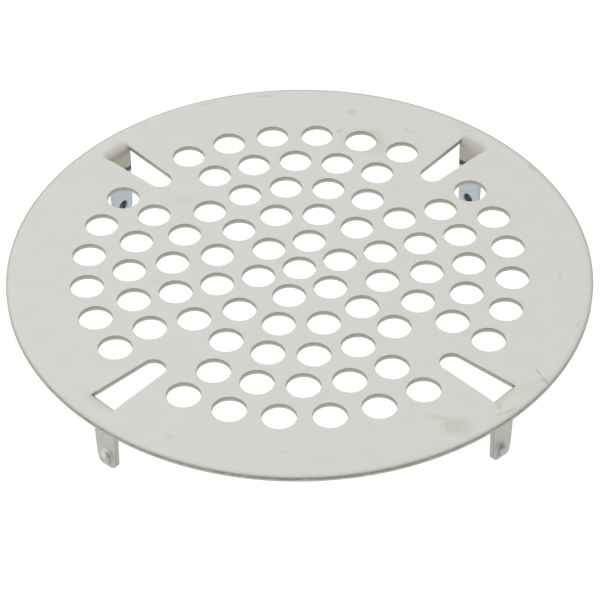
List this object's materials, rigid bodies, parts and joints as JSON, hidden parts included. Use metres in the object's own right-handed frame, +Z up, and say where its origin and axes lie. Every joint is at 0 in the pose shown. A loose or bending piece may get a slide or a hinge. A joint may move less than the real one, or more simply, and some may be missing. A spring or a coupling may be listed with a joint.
{
  "type": "floor drain grate",
  "caption": "Round snap-in floor drain strainer: a perforated stainless plate that lets water through and keeps debris out, held by sprung legs.",
  "frame": {"origin": "centre of the plane that the four leg tips stand on, on the plate's axis", "axes": "+Z up, out of the drain; +X to the right and +Y to the back; the legs stand at 45, 135, 225 and 315 degrees from +X"},
  "size_m": [0.0874, 0.0874, 0.0127],
  "materials": {
    "stainless_steel": "satin"
  },
  "bodies": {
    "plate": {"strainer_plate": "stainless_steel"},
    "back_right_leg": {"leg_back_right": "stainless_steel"},
    "back_left_leg": {"leg_back_left": "stainless_steel"},
    "front_left_leg": {"leg_front_left": "stainless_steel"},
    "front_right_leg": {"leg_front_right": "stainless_steel"}
  },
  "joints": [
    {"name": "back_right_leg_flex", "type": "hinge", "parent": "plate", "child": "back_right_leg", "pos_m": [0.02853, 0.02853, 0.01165], "axis": [-0.7071, 0.7071, 0], "range_deg": [-1, 3], "stiffness_Nm_per_rad": 4},
    {"name": "back_left_leg_flex", "type": "hinge", "parent": "plate", "child": "back_left_leg", "pos_m": [-0.02853, 0.02853, 0.01165], "axis": [-0.7071, -0.7071, 0], "range_deg": [-1, 3], "stiffness_Nm_per_rad": 4},
    {"name": "front_left_leg_flex", "type": "hinge", "parent": "plate", "child": "front_left_leg", "pos_m": [-0.02853, -0.02853, 0.01165], "axis": [0.7071, -0.7071, 0], "range_deg": [-1, 3], "stiffness_Nm_per_rad": 4},
    {"name": "front_right_leg_flex", "type": "hinge", "parent": "plate", "child": "front_right_leg", "pos_m": [0.02853, -0.02853, 0.01165], "axis": [0.7071, 0.7071, 0], "range_deg": [-1, 3], "stiffness_Nm_per_rad": 4}
  ]
}
